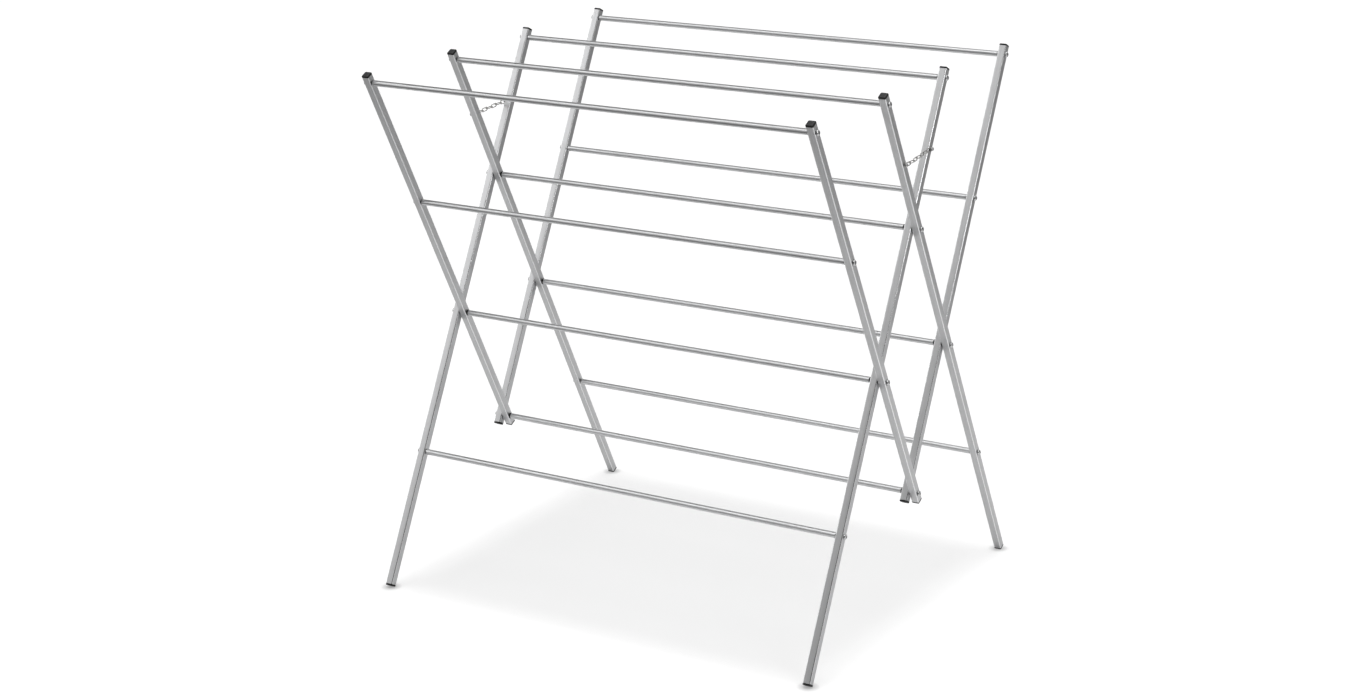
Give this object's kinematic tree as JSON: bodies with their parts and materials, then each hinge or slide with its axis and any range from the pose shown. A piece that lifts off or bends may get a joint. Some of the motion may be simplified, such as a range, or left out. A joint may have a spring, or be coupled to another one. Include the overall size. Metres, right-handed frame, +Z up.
{
  "type": "clothes drying rack",
  "caption": "Free-standing folding clothes drying rack of square metal tube and round rungs, with scissor pivots between its ladder frames and short stay chains that hold it open.",
  "frame": {"origin": "on the floor, under the middle of the opened rack", "axes": "+X along the rungs to the right-hand end, +Y from front to rear, +Z up"},
  "size_m": [0.83, 0.6936, 0.8748],
  "materials": {
    "tube": "satin extruded tube",
    "rung": "bright drawn rod with bright screw heads",
    "end_cap": "moulded, fine satin",
    "washer": "moulded, matte",
    "chain": "plated welded links and small screws"
  },
  "bodies": {
    "front_foot_frame": {"front_foot_leg_right": "tube", "front_foot_leg_left": "tube", "front_foot_leg_right_top_cap": "end_cap", "front_foot_leg_right_foot_cap": "end_cap", "front_foot_leg_left_top_cap": "end_cap", "front_foot_leg_left_foot_cap": "end_cap", "front_foot_top_rung": "rung", "front_foot_low_rung": "rung", "upper_pivot_rung": "rung", "upper_pivot_leg_washer_right": "washer", "upper_pivot_rung_washer_right": "washer", "upper_pivot_leg_washer_left": "washer", "upper_pivot_rung_washer_left": "washer", "front_pivot_rung": "rung", "front_pivot_leg_washer_right": "washer", "front_pivot_rung_washer_right": "washer", "front_pivot_leg_washer_left": "washer", "front_pivot_rung_washer_left": "washer", "right_chain_rear_screw": "chain", "left_chain_rear_screw": "chain"},
    "rear_foot_frame": {"rear_foot_leg_right": "tube", "rear_foot_leg_left": "tube", "rear_foot_leg_right_top_cap": "end_cap", "rear_foot_leg_right_foot_cap": "end_cap", "rear_foot_leg_left_top_cap": "end_cap", "rear_foot_leg_left_foot_cap": "end_cap", "rear_foot_top_rung": "rung", "rear_foot_low_rung": "rung", "rear_pivot_rung": "rung", "rear_pivot_leg_washer_right": "washer", "rear_pivot_rung_washer_right": "washer", "rear_pivot_leg_washer_left": "washer", "rear_pivot_rung_washer_left": "washer", "right_chain_front_screw": "chain", "left_chain_front_screw": "chain"},
    "front_wing_frame": {"front_wing_leg_right": "tube", "front_wing_leg_left": "tube", "front_wing_leg_right_top_cap": "end_cap", "front_wing_leg_right_bottom_cap": "end_cap", "front_wing_leg_left_top_cap": "end_cap", "front_wing_leg_left_bottom_cap": "end_cap", "front_wing_top_rung": "rung", "front_wing_middle_rung": "rung", "lower_pivot_rung": "rung", "lower_pivot_leg_washer_right": "washer", "lower_pivot_rung_washer_right": "washer", "lower_pivot_leg_washer_left": "washer", "lower_pivot_rung_washer_left": "washer"},
    "rear_wing_frame": {"rear_wing_leg_right": "tube", "rear_wing_leg_left": "tube", "rear_wing_leg_right_top_cap": "end_cap", "rear_wing_leg_right_bottom_cap": "end_cap", "rear_wing_leg_left_top_cap": "end_cap", "rear_wing_leg_left_bottom_cap": "end_cap", "rear_wing_top_rung": "rung", "rear_wing_middle_rung": "rung"},
    "right_chain_front": {"right_chain_front_half": "chain"},
    "right_chain_rear": {"right_chain_rear_half": "chain"},
    "left_chain_front": {"left_chain_front_half": "chain"},
    "left_chain_rear": {"left_chain_rear_half": "chain"}
  },
  "joints": [
    {"name": "fold", "type": "hinge", "parent": "front_foot_frame", "child": "rear_foot_frame", "pos_m": [0, 0, 0.64085], "axis": [-1, 0, 0], "range_deg": [0, 49]},
    {"name": "front_wing_fold", "type": "hinge", "parent": "front_foot_frame", "child": "front_wing_frame", "pos_m": [0, -0.1113, 0.42428], "axis": [-1, 0, 0], "range_deg": [0, 49]},
    {"name": "rear_wing_fold", "type": "hinge", "parent": "rear_foot_frame", "child": "rear_wing_frame", "pos_m": [0, 0.1113, 0.42428], "axis": [1, 0, 0], "range_deg": [0, 49]},
    {"name": "right_chain_front_swing", "type": "hinge", "parent": "rear_foot_frame", "child": "right_chain_front", "pos_m": [0.4116, -0.05851, 0.7547], "axis": [-0.9703, 0, -0.2419], "range_deg": [0, 60], "deforming": ["right_chain_front_half"]},
    {"name": "right_chain_rear_swing", "type": "hinge", "parent": "front_foot_frame", "child": "right_chain_rear", "pos_m": [0.3973, 0.05851, 0.7547], "axis": [0.9703, 0, 0.2419], "range_deg": [0, 66], "deforming": ["right_chain_rear_half"]},
    {"name": "left_chain_rear_swing", "type": "hinge", "parent": "front_foot_frame", "child": "left_chain_rear", "pos_m": [-0.4116, 0.05851, 0.7547], "axis": [0.9703, 0, -0.2419], "range_deg": [0, 60], "deforming": ["left_chain_rear_half"]},
    {"name": "left_chain_front_swing", "type": "hinge", "parent": "rear_foot_frame", "child": "left_chain_front", "pos_m": [-0.3973, -0.05851, 0.7547], "axis": [-0.9703, 0, 0.2419], "range_deg": [0, 66], "deforming": ["left_chain_front_half"]}
  ],
  "couplings": [
    {"joint": "front_wing_fold", "follows": "fold", "ratio": 1},
    {"joint": "rear_wing_fold", "follows": "fold", "ratio": 1},
    {"joint": "right_chain_front_swing", "follows": "fold", "ratio": 1.2244},
    {"joint": "right_chain_rear_swing", "follows": "fold", "ratio": 1.3469},
    {"joint": "left_chain_rear_swing", "follows": "fold", "ratio": 1.2244},
    {"joint": "left_chain_front_swing", "follows": "fold", "ratio": 1.3469}
  ]
}
